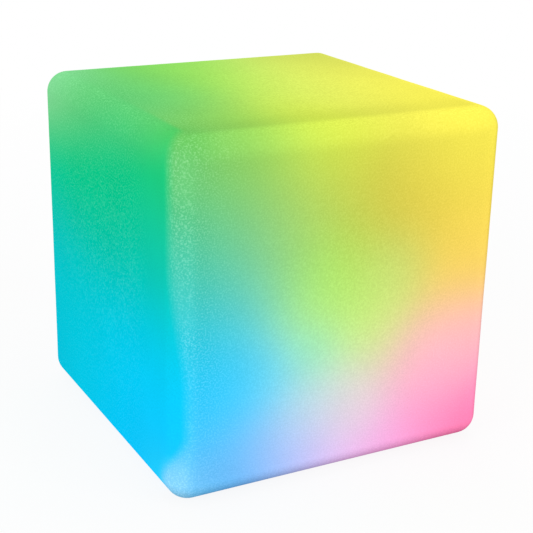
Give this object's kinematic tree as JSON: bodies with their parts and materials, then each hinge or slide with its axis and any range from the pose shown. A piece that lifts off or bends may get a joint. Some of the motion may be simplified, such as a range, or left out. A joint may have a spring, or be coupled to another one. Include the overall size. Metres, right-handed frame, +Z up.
{
  "type": "led cube light",
  "caption": "Rounded milky plastic cube that glows in blended colours, with a sealed rechargeable light unit screwed into a round recess in its base.",
  "frame": {"origin": "on the ground under the middle of the cube, at the lowest point of the rubber feet", "axes": "+Z up; the face that the picture shows largest looks along -Y, and the face on its left along -X"},
  "size_m": [0.3, 0.3, 0.3025],
  "materials": {
    "milky_polyethylene": "fine orange-peel satin",
    "white_moulding": "fine spark texture",
    "button_moulding": "semi-gloss",
    "black_moulding": "matt",
    "grey_rubber": "matt",
    "clear_silicone": "matt, milky",
    "steel_screw": "zinc plated",
    "spring_steel": "satin",
    "nickel": "satin nickel",
    "brass_insert": "machined",
    "board_green": "solder-mask gloss",
    "board_white": "white solder mask",
    "chip_black": "matt epoxy",
    "capacitor_can": "satin",
    "socket_white": "semi-gloss nylon",
    "led_package": "gloss",
    "cell_sleeve": "shrink sleeve gloss",
    "clear_dome": "frosted clear plastic",
    "lead_red": "silicone insulation",
    "lead_black": "silicone insulation",
    "lead_green": "silicone insulation"
  },
  "bodies": {
    "cube": {"base_gasket": "clear_silicone", "base_housing": "white_moulding", "base_screws": "steel_screw", "battery_cells": "cell_sleeve", "battery_lead_black": "lead_black", "battery_lead_red": "lead_red", "board_screws": "steel_screw", "button_boot": "clear_silicone", "cap_anchor": "grey_rubber", "capacitors": "capacitor_can", "cell_cradle": "black_moulding", "cell_strap": "spring_steel", "charge_jack": "black_moulding", "control_board": "board_green", "control_chips": "chip_black", "cube_shell": "milky_polyethylene", "deck": "white_moulding", "dome_screws": "steel_screw", "dome_seal": "grey_rubber", "indicator_led": "led_package", "indicator_lens": "clear_dome", "jack_contacts": "nickel", "jack_nut": "nickel", "jack_seal": "grey_rubber", "lead_sockets": "socket_white", "led_board": "board_white", "led_board_screws": "steel_screw", "led_lead_data": "lead_green", "led_lead_ground": "lead_black", "led_lead_power": "lead_red", "led_socket": "socket_white", "leds": "led_package", "light_dome": "clear_dome", "nickel_strips": "nickel", "power_inductor": "chip_black", "remote_receiver": "chip_black", "rubber_feet": "grey_rubber", "strap_screws": "steel_screw", "switch_body": "black_moulding", "thread_inserts": "brass_insert"},
    "power_button": {"power_button": "button_moulding", "switch_plunger": "button_moulding"},
    "charge_cap": {"charge_cap": "grey_rubber"}
  },
  "joints": [
    {"name": "power_button_press", "type": "slide", "parent": "cube", "child": "power_button", "axis": [0, 0, 1], "range_m": [0, 0.0012], "stiffness_N_per_m": 1500, "springref_m": -0.0006, "deforming": ["button_boot"]},
    {"name": "charge_cap_hinge", "type": "hinge", "parent": "cube", "child": "charge_cap", "pos_m": [0.03, 0.025, 0.0118], "axis": [0, -1, 0], "range_deg": [0, 120]}
  ]
}
